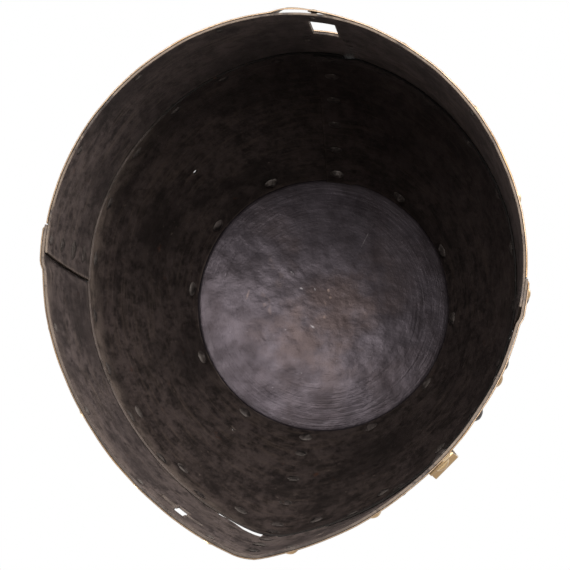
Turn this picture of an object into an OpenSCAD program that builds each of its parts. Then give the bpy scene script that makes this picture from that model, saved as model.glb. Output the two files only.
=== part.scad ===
// Pot helm of riveted iron plates: a flat rim, a pointed prow and a small domed crown.
// It stands on its rim with +Z up and the face towards -Y, so the wearer's left is +X.
// A turn is the way that the wall faces in plan, in degrees from the keel of the prow:
// 0 is the keel, 90 the wearer's left, -90 the wearer's right and 180 the back.
// An inset is a depth inwards from the rim outline, square to the wall in plan.

/* [Rim outline] */
// Outside width of the helm across the sides
rim_width = 240; // [225:1:255]
// Outside length of the helm from the prow to the back
rim_length = 272; // [260:1:286]
// Radius of the blunt nose of the prow
prow_radius = 25; // [18:1:32]
// Turn at which the nose passes into the flatter cheeks
prow_turn = 18; // [14:1:22]
// Turn at which the cheeks pass into the round sides
cheek_turn = 68; // [62:1:74]
// Half of the turn that the back curve takes
back_turn = 20; // [16:1:30]
// Outside length of the helm at the waist
waist_length = 271; // [262:1:280]
// Radius of the prow at the waist
waist_radius = 45; // [36:1:56]
// Distance of the waist's middle behind the middle of the rim
waist_setback = 3.5; // [0:0.5:6]

/* [Heights] */
// Height of the upper plate's lower edge, which is the top of the sights
brow_height = 117; // [108:1:126]
// Height of the lap of the lower plates over the upper plate
waist_lap = 20; // [18:1:24]
// Height of the edge between the upper wall and the crown
crown_height = 300; // [285:1:315]
// Rise of the crown's dome above its rounded edge
crown_rise = 8; // [4:1:14]
// Height of the flange that the crown plate turns down over the upper plate
crown_flange = 21; // [18:1:26]
// Radius of the crown plate's rounded edge
crown_bend = 5; // [4:0.5:7]

/* [Crown] */
// Width of the round top of the upper plate
crown_width = 161; // [150:1:172]
// Distance of the crown's centre behind the middle of the rim
crown_setback = 7; // [2:1:12]
// Sweep of the upper wall, where 1 is straight and more leans in later
wall_sweep = 1.25; // [1.1:0.05:1.5]

/* [Plates] */
// Thickness of the iron plates
iron_sheet = 1.2; // [1:0.1:1.8]
// Thickness of the brass mounts
brass_sheet = 0.7; // [0.6:0.1:1.2]
// Clearance between sheets that lie on each other
seat_gap = 0.2; // [0.16:0.02:0.3]
// Turn at which the lower front plate ends over the lower rear plate
front_plate_turn = 93; // [86:1:100]
// Width of the lap of the lower plates at each side, at the rim
side_lap = 14; // [13:1:20]
// Forward sweep of the lower rear plate's front edge from the rim to the waist
lap_sweep = 5.5; // [0:0.5:7]
// Radius of the lower front plate's upper corners at the laps
front_corner = 5; // [2:0.5:8]
// Length over which the lower front plate steps out over the rear plate
lap_joggle = 9; // [7:1:20]
// Half of the turn that the upper plate's seam at the back laps
seam_turn = 5; // [4:0.5:7]

/* [Sights and breaths] */
// Height of the sight slits beside the tongue, below the brow
sight_height = 10.5; // [8:0.5:12]
// Height of the sight slits at their outer ends
sight_end_height = 2; // [1:0.5:4]
// Length of each sight slit across the face
sight_width = 26; // [20:1:34]
// Half of the width of the tongue between the sights
sight_start = 4.5; // [4.5:0.5:7]
// Diameter of the breath holes on the wearer's right
breath_hole = 5; // [3:0.5:6]
// Distance between neighbouring breath holes
breath_pitch = 14; // [12:1:16]
// Height of the middle of the breaths above the rim
breath_height = 62; // [56:1:68]
// Turn of the middle of the breaths
breath_turn = -34; // [-36:1:-32]
// Height of the toggle cross above the rim
toggle_height = 32; // [30:1:50]
// Turn of the toggle cross on the wearer's left
toggle_turn = 30; // [27:1:40]
// Length of the bars of the toggle cross
toggle_length = 26; // [18:1:30]
// Width of the bars of the toggle cross
toggle_bar = 6; // [4.5:0.5:8]

/* [Rim band] */
// Height of the brass band round the rim
band_height = 14; // [12:1:16]
// Distance that the band has sprung off the wall beside the back
band_spring = 1.2; // [0:0.1:2]
// Turn at the middle of the sprung stretch
spring_turn = 181; // [174:1:188]
// Length of the sprung stretch in degrees of turn
spring_span = 30; // [20:1:36]

/* [Cross mounts] */
// Width of the keel strips along the wall
keel_width = 24; // [18:1:30]
// Height of the brow bands
brow_width = 24; // [18:1:28]
// Length of each brow band along the wall, from the keel
brow_length = 122; // [100:1:135]
// Widening of the brow bands towards their ends
brow_flare = 6; // [0:1:10]
// Length of the rounded point at the end of a brow band
brow_point = 16; // [10:1:24]

/* [Back plate and strap loop] */
// Width of the plate round the back slot
back_plate_width = 38; // [34:1:46]
// Height of the plate round the back slot
back_plate_height = 71; // [69:1:80]
// Width of the back slot
slot_width = 13.5; // [8:0.5:14]
// Height of the back slot
slot_height = 36; // [24:1:38]
// Distance of the slot above the rim band
slot_rise = 4; // [3.5:0.5:6]
// Distance of the slot's middle towards the wearer's right
slot_offset = 3.5; // [0:0.5:6]
// Width of the strap loop
loop_width = 16; // [12:1:20]
// Height of the strap loop with its feet
loop_height = 46; // [40:1:52]
// Height of the strap loop's middle above the rim
loop_middle = 62; // [56:1:70]
// Turn of the strap loop on the wearer's right
loop_turn = -52; // [-56:1:-50]
// Way that the strap loop leaves free for the strap
loop_space = 3; // [2:0.5:5]
// Thickness of the strap loop
loop_sheet = 2; // [1.5:0.1:3]

/* [Rivets] */
// Diameter of the rivet shanks
rivet_shank = 4; // [3:0.25:4.5]
// Diameter of the domed rivet heads outside
rivet_head = 9; // [7:0.5:10]
// Height of the domed rivet heads
rivet_rise = 2.2; // [1.4:0.1:3]
// Diameter of the hammered rivet ends inside
rivet_end = 6.5; // [5.5:0.25:8]
// Height of the hammered rivet ends
rivet_end_rise = 1; // [0.6:0.1:1.6]
// Diameter of the shanks of the slim rivets in the rim band and the back plate
slim_shank = 3; // [2.5:0.25:3.5]
// Diameter of the domed heads of the slim rivets
slim_head = 6.5; // [6:0.5:7.5]
// Height of the domed heads of the slim rivets
slim_rise = 1.2; // [0.8:0.1:2]
// Diameter of the hammered ends of the slim rivets
slim_end = 5; // [4.5:0.25:6]
// Height of the hammered ends of the slim rivets
slim_end_rise = 0.8; // [0.5:0.1:1.2]
// Clearance of a shank in its hole
rivet_gap = 0.15; // [0.1:0.05:0.25]
// Distance between neighbouring rivets of the rim band
rim_pitch = 47; // [40:1:60]
// Distance between neighbouring rivets of the waist seam
waist_pitch = 31; // [26:1:40]
// Distance between neighbouring rivets up the laps
lap_pitch = 31; // [26:1:36]
// Distance between neighbouring rivets up the keel
keel_pitch = 37; // [30:1:42]
// Number of rivets round the crown
crown_rivet_count = 12; // [8:1:16]
// Distance of the waist rivets above the brow edge
waist_rivet_rise = 10; // [9:0.5:11]
// Distance of the first rim rivets from the keel
first_rim_rivet = 22; // [20:1:28]

/* [Lining] */
// Diameter of the two lace holes for the lining, on the wearer's left
lace_hole = 3.2; // [2:0.2:4]
// Height of the front lace hole
front_lace_height = 257; // [240:1:262]
// Height of the back lace hole
back_lace_height = 218; // [200:1:236]
// Turn of the front lace hole
front_lace_turn = 31.5; // [28:0.5:36]
// Turn of the back lace hole
back_lace_turn = 127; // [120:1:134]

/* [Hidden] */

iron = [0.20, 0.17, 0.15];
crown_iron = [0.30, 0.30, 0.33];
worn_iron = [0.32, 0.29, 0.27];
brass = [0.72, 0.55, 0.33];

// Finest turn and height between the points of a bent sheet
turn_step = 4;
wall_rows = 8;
row_crowding = 1.5;
strip_columns = 8;
band_rows = 4;
band_column = 10;
bend_steps = 3;
edge_steps = 8;
dome_shares = [0.78, 0.52, 0.26];
// Clearance between the edges of sheets that lie side by side
edge_gap = 0.6;
// A small length for probing the wall's lean and for cutting clean through
probe = 0.5;
through = 12;
// Distance of the rim's middle ahead of the middle of the whole helm
rim_advance = 1.1;
hole_faces = 24;
round_faces = 40;

function facing(turn) = [sin(turn), -cos(turn)];
function arc_length(radius, turn) = radius * turn * PI / 180;
function arc_turn(radius, run) = run / radius * 180 / PI;

// The four arcs of half an outline meet with a common tangent, and their radii follow
// from the width, the length and the nose.
half_width = rim_width / 2;
cheek_ratio = (cos(prow_turn) - cos(cheek_turn)) / (sin(cheek_turn) - sin(prow_turn));
back_ratio = (1 - cos(back_turn)) / sin(back_turn);
function outline_radii(length, nose) = let (
        flank = half_width - nose * sin(prow_turn),
        side = (length - nose * (1 - cos(prow_turn)) - cheek_ratio * flank
                - back_ratio * half_width)
            / (cos(cheek_turn) + cos(back_turn)
                - cheek_ratio * (1 - sin(cheek_turn)) - back_ratio * (1 - sin(back_turn))),
        cheek = (flank - side * (1 - sin(cheek_turn))) / (sin(cheek_turn) - sin(prow_turn)),
        back = (half_width - side * (1 - sin(back_turn))) / sin(back_turn))
    [nose, cheek, side, back];
function outline_centres(radii, tip) = let (
        nose = [0, tip + radii[0]],
        cheek = nose + (radii[0] - radii[1]) * facing(prow_turn),
        side = cheek + (radii[1] - radii[2]) * facing(cheek_turn),
        back = side + (radii[2] - radii[3]) * facing(180 - back_turn))
    [nose, cheek, side, back];

arc_ends = [0, prow_turn, cheek_turn, 180 - back_turn, 180];
rim_radii = outline_radii(rim_length, prow_radius);
rim_centres = outline_centres(rim_radii, -rim_length / 2 - rim_advance);
waist_radii = outline_radii(waist_length, waist_radius);
waist_centres = outline_centres(waist_radii, waist_setback - waist_length / 2 - rim_advance);
cheek_radius = rim_radii[1];
side_radius = rim_radii[2];
back_radius = rim_radii[3];

// Lengths along the outline from the keel to the end of each arc
nose_girth = arc_length(prow_radius, prow_turn);
cheek_girth = nose_girth + arc_length(cheek_radius, cheek_turn - prow_turn);
side_girth = cheek_girth + arc_length(side_radius, 180 - back_turn - cheek_turn);
back_girth = side_girth + arc_length(back_radius, back_turn);
arc_girths = [0, nose_girth, cheek_girth, side_girth, back_girth];

function folded(turn) = turn - 360 * floor((turn + 180) / 360);
function arc_at(turn) = turn <= prow_turn ? 0
    : turn <= cheek_turn ? 1
    : turn <= 180 - back_turn ? 2
    : 3;
function arc_at_girth(girth) = girth <= nose_girth ? 0
    : girth <= cheek_girth ? 1
    : girth <= side_girth ? 2
    : 3;
function girth_at(turn) = let (k = arc_at(turn))
    arc_girths[k] + arc_length(rim_radii[k], turn - arc_ends[k]);
function turn_at(girth) = let (k = arc_at_girth(girth))
    arc_ends[k] + arc_turn(rim_radii[k], girth - arc_girths[k]);

// Points of the two outlines that face a turn, at an inset
function arc_point(turn, inset, radii, centres) = let (
        t = folded(turn),
        k = arc_at(abs(t)),
        p = centres[k] + (radii[k] - inset) * facing(abs(t)))
    [t < 0 ? -p.x : p.x, p.y];
function rim_point(turn, inset) = arc_point(turn, inset, rim_radii, rim_centres);
function waist_point(turn, inset) = arc_point(turn, inset, waist_radii, waist_centres);

// Insets of the outer faces of the plates: the rear plate lies under the front plate
// at the sides, and the upper plate lies under both.
lap_step = iron_sheet + seat_gap;
rear_inset = lap_step;
upper_inset = 2 * lap_step;
upper_inner = upper_inset + iron_sheet;
waist_top = brow_height + waist_lap;

front_girth = girth_at(front_plate_turn);
lap_girth = front_girth - side_lap / 2;
lap_turn = turn_at(lap_girth);
rear_girth = front_girth - side_lap;
joggle_girth = rear_girth - lap_sweep - edge_gap;
joggle_end = turn_at(joggle_girth);
joggle_start = turn_at(joggle_girth - lap_joggle);

// The lower front plate bears on the upper plate and steps out over the rear plate.
function eased(share) = let (s = min(max(share, 0), 1)) s * s * (3 - 2 * s);
function front_inset(turn) = lap_step
    * (1 - eased((abs(turn) - joggle_start) / (joggle_end - joggle_start)));
function lower_inset(turn) = let (t = abs(folded(turn)))
    t < front_plate_turn ? front_inset(t) : rear_inset;

// The rim band lies on the plates, and its rear part has sprung off beside the back.
function band_sprung(turn) = let (s = (turn - 360 * floor(turn / 360) - spring_turn) / spring_span)
    abs(s) < 0.5 ? band_spring * (1 + cos(360 * s)) / 2 : 0;
function band_inset(turn) = lower_inset(turn) - seat_gap - brass_sheet - band_sprung(turn);

// The wall is upright behind the rim band, leans from there to the waist outline, and
// passes above the waist to a circle at the crown.
crown_centre = [0, crown_setback - rim_advance];
crown_reach = crown_width / 2 + upper_inset;
crown_inset = upper_inset - seat_gap - iron_sheet;
flange_bottom = crown_height - crown_flange;

function waist_share(z) = min(max((z - band_height) / (waist_top - band_height), 0), 1);
function crown_share(z) = z <= waist_top ? 0
    : pow((z - waist_top) / (crown_height - waist_top), wall_sweep);
function wall_point(turn, z, inset) = let (
        w = waist_share(z),
        s = crown_share(z),
        low = (1 - w) * rim_point(turn, inset) + w * waist_point(turn, inset),
        top = crown_centre + (crown_reach - inset) * facing(turn),
        p = (1 - s) * low + s * top)
    [p.x, p.y, z];
function wall_radius(turn, z) = let (
        w = waist_share(z),
        s = crown_share(z),
        k = arc_at(abs(folded(turn))))
    (1 - s) * ((1 - w) * rim_radii[k] + w * waist_radii[k]) + s * crown_reach;
function wall_lean(turn, z) = let (
        low = wall_point(turn, z - probe, 0),
        top = wall_point(turn, z + probe, 0),
        f = facing(turn))
    atan(((low.x - top.x) * f.x + (low.y - top.y) * f.y) / (2 * probe));

// Turns at which bent sheets have their points, from -540 to 540
function arc_steps(from, to) = let (n = ceil((to - from) / turn_step))
    [for (i = [0 : n - 1]) from + (to - from) * i / n];
half_turns = [for (k = [0 : 3]) each arc_steps(arc_ends[k], arc_ends[k + 1])];
ring_turns = concat([for (i = [len(half_turns) - 1 : -1 : 1]) -half_turns[i]], half_turns, [180]);
wide_turns = [for (lap = [-1 : 1]) for (t = ring_turns) t + 360 * lap];
least_step = 0.8;
function turns_between(from, to) = concat([from],
    [for (t = wide_turns) if (t > from + least_step && t < to - least_step) t], [to]);

// Heights of the rows of points, closer where the upper wall bends in
lower_heights = [0, band_height, waist_top];
wall_heights = concat([brow_height], [for (i = [0 : wall_rows])
    waist_top + (crown_height - waist_top) * pow(i / wall_rows, row_crowding)]);
least_row = 2;
function heights_between(from, to) = concat([from],
    [for (z = wall_heights) if (z > from + least_row && z < to - least_row) z], [to]);

// A sheet between two grids of points, whose rows go up and whose columns go round by
// turn. A closed sheet joins its last column to its first, and poles close its top.
module sheet_solid(outer, inner, closed = false, poles = []) {
    rows = len(outer);
    columns = len(outer[0]);
    grid = rows * columns;
    spans = closed ? columns : columns - 1;
    points = concat([for (row = outer) each row], [for (row = inner) each row], poles);
    function out(i, j) = i * columns + j % columns;
    function in(i, j) = grid + out(i, j);
    last = rows - 1;
    faces = concat(
        [for (i = [0 : rows - 2]) for (j = [0 : spans - 1]) each [
            [out(i, j), out(i + 1, j), out(i + 1, j + 1)],
            [out(i, j), out(i + 1, j + 1), out(i, j + 1)],
            [in(i, j), in(i + 1, j + 1), in(i + 1, j)],
            [in(i, j), in(i, j + 1), in(i + 1, j + 1)]]],
        [for (j = [0 : spans - 1]) each [
            [out(0, j), out(0, j + 1), in(0, j + 1)],
            [out(0, j), in(0, j + 1), in(0, j)]]],
        [for (j = [0 : spans - 1]) each len(poles) == 0
            ? [[out(last, j + 1), out(last, j), in(last, j)],
                [out(last, j + 1), in(last, j), in(last, j + 1)]]
            : [[out(last, j + 1), out(last, j), 2 * grid],
                [in(last, j), in(last, j + 1), 2 * grid + 1]]],
        closed ? [] : [for (i = [0 : rows - 2]) each [
            [out(i + 1, 0), out(i, 0), in(i, 0)],
            [out(i + 1, 0), in(i, 0), in(i + 1, 0)],
            [out(i, spans), out(i + 1, spans), in(i + 1, spans)],
            [out(i, spans), in(i + 1, spans), in(i, spans)]]]);
    polyhedron(points, faces, convexity = 8);
}

// A stretch of the rim band, with its outer face at insets[i] at turns[i]
module band_sheet(turns, insets) {
    count = len(turns);
    outer = [for (i = [0 : count - 1]) rim_point(turns[i], insets[i])];
    inner = [for (i = [count - 1 : -1 : 0]) rim_point(turns[i], insets[i] + brass_sheet)];
    linear_extrude(band_height)
        polygon(concat(outer, inner));
}

// Puts its children on the wall with +Z outwards, +Y along the wall and -X upwards
module on_wall(turn, z, inset) {
    translate(wall_point(turn, z, inset))
        rotate([0, 90 - wall_lean(turn, z), turn - 90])
            children();
}

// The section of one rivet: a domed head, a shank through the grip and a hammered end
module cap_section(diameter, rise) {
    ball = (diameter * diameter / 4 + rise * rise) / (2 * rise);
    intersection() {
        translate([0, rise - ball])
            circle(ball, $fn = 96);
        square([diameter / 2, rise]);
    }
}

// Shank, head and end of the two sizes of rivet
stout = [rivet_shank, rivet_head, rivet_rise, rivet_end, rivet_end_rise];
slim = [slim_shank, slim_head, slim_rise, slim_end, slim_end_rise];

module rivet(grip, size) {
    rotate_extrude($fn = round_faces) {
        cap_section(size[1], size[2]);
        translate([0, -grip])
            square([size[0] / 2, grip]);
        translate([0, -grip])
            mirror([0, 1])
                cap_section(size[3], size[4]);
    }
}

// Length that a rivet grips between two insets, so that its flat end clears the hollow
function wall_grip(turn, z, outer_inset, inner_inset, size) = let (
        hollow = wall_radius(turn, z) - inner_inset,
        end_gap = seat_gap + size[3] * size[3] / 8 / hollow)
    inner_inset - outer_inset + seat_gap / 2 + end_gap;

module wall_rivet(turn, z, outer_inset, inner_inset, size = stout) {
    on_wall(turn, z, outer_inset - seat_gap / 2)
        rivet(wall_grip(turn, z, outer_inset, inner_inset, size), size);
}

module wall_hole(turn, z, diameter) {
    on_wall(turn, z, upper_inset)
        cylinder(h = 2 * through, d = diameter, center = true, $fn = hole_faces);
}

module rivet_hole(turn, z, size = stout) {
    wall_hole(turn, z, size[0] + 2 * rivet_gap);
}

// Girths of rivets that share a run evenly, with both ends
function even_run(from, to, pitch) = let (n = max(1, round((to - from) / pitch)))
    [for (i = [0 : n]) from + (to - from) * i / n];
function both_sides(turns) = concat(turns, [for (t = turns) if (t > 0 && t < 180) -t]);

rim_rivet_height = band_height / 2;
rim_girths = concat(even_run(first_rim_rivet, lap_girth, rim_pitch),
    [for (g = even_run(lap_girth, back_girth, rim_pitch)) if (g > lap_girth) g]);
rim_rivet_turns = both_sides([for (g = rim_girths) turn_at(g)]);

waist_rivet_height = brow_height + waist_rivet_rise;
sight_end = sight_start + sight_width;
sight_side = 12;
sight_girth = nose_girth + (sight_end - prow_radius * sin(prow_turn)) / cos(prow_turn);
waist_girths = concat(even_run(sight_girth + sight_side, lap_girth, waist_pitch),
    [for (g = even_run(lap_girth, back_girth, waist_pitch)) if (g > lap_girth) g]);
waist_rivet_turns = both_sides([for (g = waist_girths) turn_at(g)]);

side_run = even_run(rim_rivet_height, waist_rivet_height, lap_pitch);
side_rivet_heights = [for (i = [1 : len(side_run) - 2]) side_run[i]];
crown_rivet_height = crown_height - crown_flange / 2;
seam_run = even_run(waist_rivet_height, crown_rivet_height, lap_pitch);
seam_rivet_heights = [for (i = [1 : len(seam_run) - 2]) seam_run[i]];
crown_rivet_turns = [for (i = [0 : crown_rivet_count - 1]) 180 - 360 * i / crown_rivet_count];

// The upper plate's inner face at the rivets, where the seam has two leaves
function leaf_inner(turn) = abs(folded(turn)) > 180 - seam_turn
    ? upper_inner + lap_step
    : upper_inner;

keel_lower_bottom = band_height + edge_gap;
keel_upper_bottom = waist_top + edge_gap;
keel_upper_top = flange_bottom - edge_gap;
brow_middle = waist_top + edge_gap + brow_width / 2 + brow_flare / 2;
keel_clear = 12;
brow_pitch = 47;
keel_upper_heights = even_run(brow_middle, keel_upper_top - keel_clear, keel_pitch);
keel_lower_run = even_run(keel_lower_bottom + keel_clear, waist_rivet_height, keel_pitch);

// Turn that lies a run along the wall from the keel, at a height of the upper wall
function keel_turn(run, z) = let (
        nose = wall_radius(0, z) - upper_inset,
        cheek = wall_radius(cheek_turn, z) - upper_inset,
        nose_run = arc_length(nose, prow_turn))
    run <= nose_run ? arc_turn(nose, run) : prow_turn + arc_turn(cheek, run - nose_run);

brow_start = keel_width / 2 + edge_gap;
brow_square = brow_length - brow_point;
brow_near = 10;
brow_far = 2;
// Share of a brow band's height that is left at its very end
tip_share = 0.3;
brow_rivet_turns = [for (run = even_run(brow_start + brow_near, brow_square - brow_far, brow_pitch))
    keel_turn(run, brow_middle)];

slot_bottom = band_height + slot_rise;
slot_top = slot_bottom + slot_height;
slot_turn = 180 + arc_turn(back_radius, slot_offset);
back_plate_bottom = band_height + edge_gap;
back_plate_top = back_plate_bottom + back_plate_height;
back_rivet_clear = 4.5;
back_rivet_turn = arc_turn(back_radius, slot_width / 2 + back_rivet_clear);
back_rivet_heights = [slot_top + back_rivet_clear, back_plate_top - 2 * back_rivet_clear];

loop_foot = 11;
// The flat feet touch the round wall at their middle and stand off at their edges.
loop_seat = loop_width * loop_width / 8 / cheek_radius;
loop_inset = lower_inset(loop_turn) - seat_gap - loop_seat;
loop_rivet_reach = loop_height / 2 - loop_foot / 2;

lace_places = [[front_lace_turn, front_lace_height], [back_lace_turn, back_lace_height]];

// Slits cut down from the lower front plate's top edge, which the upper plate closes
module sight_cuts(margin) {
    inner = sight_start - margin;
    outer = sight_end + margin;
    inner_bottom = brow_height - sight_height - margin;
    outer_bottom = brow_height - sight_end_height - margin;
    for (side = [0, 1])
        mirror([side, 0, 0])
            translate([0, -rim_length / 2, 0])
                rotate([90, 0, 0])
                    linear_extrude(rim_length / 3, center = true)
                        polygon([[inner, inner_bottom], [outer, outer_bottom],
                            [outer, waist_top + through], [inner, waist_top + through]]);
}

// What lies before the lower rear plate's front edge, which sweeps forward as it rises
module lap_edge_cut(side) {
    p = rim_point(turn_at(rear_girth), rear_inset);
    edge = [for (i = [0 : edge_steps]) let (s = i / edge_steps)
        [p.y - lap_sweep * (1 - pow(1 - s, 2)), s * waist_top]];
    far = p.y - 2 * through;
    translate([side * p.x - through, 0, 0])
        rotate([90, 0, 90])
            linear_extrude(2 * through)
                polygon(concat([[far, -through], [edge[0].x, -through]], edge,
                    [[edge[edge_steps].x, waist_top + through], [far, waist_top + through]]));
}

// What lies beyond the rounded upper corner of the lower front plate on one side
module front_corner_cut(side) {
    p = wall_point(front_plate_turn, waist_top, 0);
    translate([side * p.x - through, p.y - front_corner, waist_top - front_corner])
        rotate([90, 0, 90])
            linear_extrude(2 * through)
                difference() {
                    square(2 * front_corner);
                    circle(front_corner, $fn = hole_faces);
                }
}

module crown_plate() {
    dome_lean = atan(2 * crown_rise / (crown_width / 2));
    pole_rise = crown_rise + crown_bend * (cos(dome_lean) - sin(wall_lean(90, crown_height)));
    function flange_row(z, depth) = [for (t = ring_turns) wall_point(t, z, crown_inset + depth)];
    function bend_row(share, depth) = [for (t = ring_turns)
        let (lean = wall_lean(t, crown_height - probe),
            a = lean + (90 - dome_lean - lean) * share,
            r = crown_reach - crown_inset - crown_bend * cos(lean)
                + (crown_bend - depth) * cos(a),
            p = crown_centre + r * facing(t),
            z = crown_height + (crown_bend - depth) * sin(a) - crown_bend * sin(lean))
        [p.x, p.y, z]];
    function dome_row(share, depth) = let (rim = bend_row(1, depth),
            top = crown_height + pole_rise - depth)
        [for (p = rim) [p.x * share, crown_centre.y + (p.y - crown_centre.y) * share,
            p.z + (top - p.z) * (1 - share * share)]];
    flange = [flange_bottom, (flange_bottom + crown_height - crown_bend) / 2,
        crown_height - crown_bend / 2];
    function rows(depth) = concat(
        [for (z = flange) flange_row(z, depth)],
        [for (i = [0 : bend_steps]) bend_row(i / bend_steps, depth)],
        [for (share = dome_shares) dome_row(share, depth)]);
    function pole(depth) = [0, crown_centre.y, crown_height + pole_rise - depth];
    color(crown_iron)
        difference() {
            sheet_solid(rows(0), rows(iron_sheet), closed = true,
                poles = [pole(0), pole(iron_sheet)]);
            for (t = crown_rivet_turns)
                rivet_hole(t, crown_rivet_height);
        }
}

module upper_plate() {
    seam_slack = 1;
    seam_ramp = 4;
    turns = turns_between(-180 - seam_turn, 180 + seam_turn);
    function leaf_inset(t) = upper_inset + lap_step
        * (1 - eased((t + 180 - seam_turn - seam_slack) / seam_ramp));
    function rows(depth) = [for (z = wall_heights)
        [for (t = turns) wall_point(t, z, leaf_inset(t) + depth)]];
    color(iron)
        difference() {
            sheet_solid(rows(0), rows(iron_sheet));
            for (t = waist_rivet_turns)
                rivet_hole(t, waist_rivet_height);
            for (t = crown_rivet_turns)
                rivet_hole(t, crown_rivet_height);
            for (z = seam_rivet_heights)
                rivet_hole(180, z);
            for (z = keel_upper_heights)
                rivet_hole(0, z);
            rivet_hole(0, waist_rivet_height);
            for (side = [-1, 1])
                for (t = brow_rivet_turns)
                    rivet_hole(side * t, brow_middle);
            for (place = lace_places)
                wall_hole(place[0], place[1], lace_hole);
        }
}

module lower_front_plate() {
    turns = turns_between(-front_plate_turn, front_plate_turn);
    breath_step = arc_turn(cheek_radius, breath_pitch);
    function rows(depth) = [for (z = lower_heights)
        [for (t = turns) wall_point(t, z, front_inset(t) + depth)]];
    color(worn_iron)
        difference() {
            sheet_solid(rows(0), rows(iron_sheet));
            sight_cuts(0);
            for (side = [-1, 1])
                front_corner_cut(side);
            for (t = rim_rivet_turns)
                if (abs(t) < front_plate_turn)
                    rivet_hole(t, rim_rivet_height, slim);
            for (t = waist_rivet_turns)
                if (abs(t) < front_plate_turn)
                    rivet_hole(t, waist_rivet_height);
            for (side = [-1, 1])
                for (z = side_rivet_heights)
                    rivet_hole(side * lap_turn, z);
            for (z = keel_lower_run)
                rivet_hole(0, z);
            on_wall(toggle_turn, toggle_height, upper_inset)
                for (bar = [[toggle_length, toggle_bar], [toggle_bar, toggle_length]])
                    cube([bar[0], bar[1], 2 * through], center = true);
            for (row = [-1 : 1])
                for (k = [-2 : 2 - abs(row)])
                    wall_hole(breath_turn + (k + abs(row) / 2) * breath_step,
                        breath_height + row * breath_pitch, breath_hole);
            at_loop_rivets(upper_inset)
                cylinder(h = 2 * through, d = rivet_shank + 2 * rivet_gap, center = true,
                    $fn = hole_faces);
        }
}

module lower_rear_plate() {
    start = turn_at(rear_girth - lap_sweep - lap_joggle / 2);
    turns = turns_between(start, 360 - start);
    function rows(depth) = [for (z = lower_heights)
        [for (t = turns) wall_point(t, z, rear_inset + depth)]];
    color(iron)
        difference() {
            sheet_solid(rows(0), rows(iron_sheet));
            for (side = [-1, 1])
                lap_edge_cut(side);
            for (t = rim_rivet_turns)
                if (abs(t) >= lap_turn)
                    rivet_hole(t, rim_rivet_height, slim);
            for (t = waist_rivet_turns)
                if (abs(t) >= lap_turn)
                    rivet_hole(t, waist_rivet_height);
            for (side = [-1, 1])
                for (z = side_rivet_heights)
                    rivet_hole(side * lap_turn, z);
            back_slot();
            back_rivet_holes();
        }
}

module back_slot() {
    on_wall(slot_turn, (slot_bottom + slot_top) / 2, rear_inset)
        cube([slot_height, slot_width, 2 * through], center = true);
}

module back_rivet_holes() {
    for (side = [-1, 1])
        for (z = back_rivet_heights)
            rivet_hole(slot_turn + side * back_rivet_turn, z, slim);
}

module rim_band_front() {
    turns = turns_between(-front_plate_turn, front_plate_turn);
    color(brass)
        difference() {
            band_sheet(turns, [for (t = turns) band_inset(t)]);
            for (t = rim_rivet_turns)
                if (abs(t) < front_plate_turn)
                    rivet_hole(t, rim_rivet_height, slim);
        }
}

module rim_band_rear() {
    start = turn_at(front_girth + edge_gap);
    turns = turns_between(start, 360 - start);
    color(brass)
        difference() {
            band_sheet(turns, [for (t = turns) band_inset(t)]);
            for (t = rim_rivet_turns)
                if (abs(t) > front_plate_turn)
                    rivet_hole(t, rim_rivet_height, slim);
        }
}

// A strip up the keel, whose inner face clears the plate under it by the seat gap
module keel_strip(heights, plate_inset) {
    inset = plate_inset - seat_gap - brass_sheet;
    function rows(depth) = [for (z = heights) [for (j = [0 : strip_columns])
        let (share = 2 * j / strip_columns - 1,
            t = sign(share) * keel_turn(abs(share) * keel_width / 2, z))
        wall_point(t, z, inset + depth)]];
    sheet_solid(rows(0), rows(brass_sheet));
}

module keel_strip_upper() {
    color(brass)
        difference() {
            keel_strip(heights_between(keel_upper_bottom, keel_upper_top), upper_inset);
            for (z = keel_upper_heights)
                rivet_hole(0, z);
        }
}

module keel_strip_lower() {
    color(brass)
        difference() {
            keel_strip([keel_lower_bottom, waist_top], front_inset(0));
            sight_cuts(edge_gap);
            for (z = keel_lower_run)
                rivet_hole(0, z);
        }
}

// A band over one sight, which widens outwards and ends in a rounded point
module brow_band(side) {
    inset = upper_inset - seat_gap - brass_sheet;
    runs = concat(even_run(brow_start, brow_square, band_column),
        [for (i = [1 : bend_steps]) brow_square + brow_point * sin(90 * i / bend_steps)]);
    function half_height(run) = run <= brow_square
        ? (brow_width + brow_flare * (run - brow_start) / (brow_square - brow_start)) / 2
        : (brow_width + brow_flare) / 2
            * (tip_share + (1 - tip_share) * sqrt(1 - pow((run - brow_square) / brow_point, 2)));
    function rows(depth) = [for (i = [0 : band_rows]) [for (j = [0 : len(runs) - 1])
        let (run = side > 0 ? runs[j] : runs[len(runs) - 1 - j],
            z = brow_middle + (2 * i / band_rows - 1) * half_height(run))
        wall_point(side * keel_turn(run, brow_middle), z, inset + depth)]];
    color(brass)
        difference() {
            sheet_solid(rows(0), rows(brass_sheet));
            for (t = brow_rivet_turns)
                rivet_hole(side * t, brow_middle);
        }
}

module brow_band_left() {
    brow_band(1);
}

module brow_band_right() {
    brow_band(-1);
}

module back_slot_plate() {
    half = arc_turn(back_radius, back_plate_width / 2);
    turns = turns_between(slot_turn - half, slot_turn + half);
    inset = rear_inset - seat_gap - brass_sheet;
    function rows(depth) = [for (z = [back_plate_bottom, back_plate_top])
        [for (t = turns) wall_point(t, z, inset + depth)]];
    color(brass)
        difference() {
            sheet_solid(rows(0), rows(brass_sheet));
            back_slot();
            back_rivet_holes();
        }
}

// Puts its children at the loop's two rivets, in the frame in which the loop is drawn
module at_loop_rivets(inset) {
    on_wall(loop_turn, loop_middle, inset)
        for (end = [-1, 1])
            translate([end * loop_rivet_reach, 0, 0])
                children();
}

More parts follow.
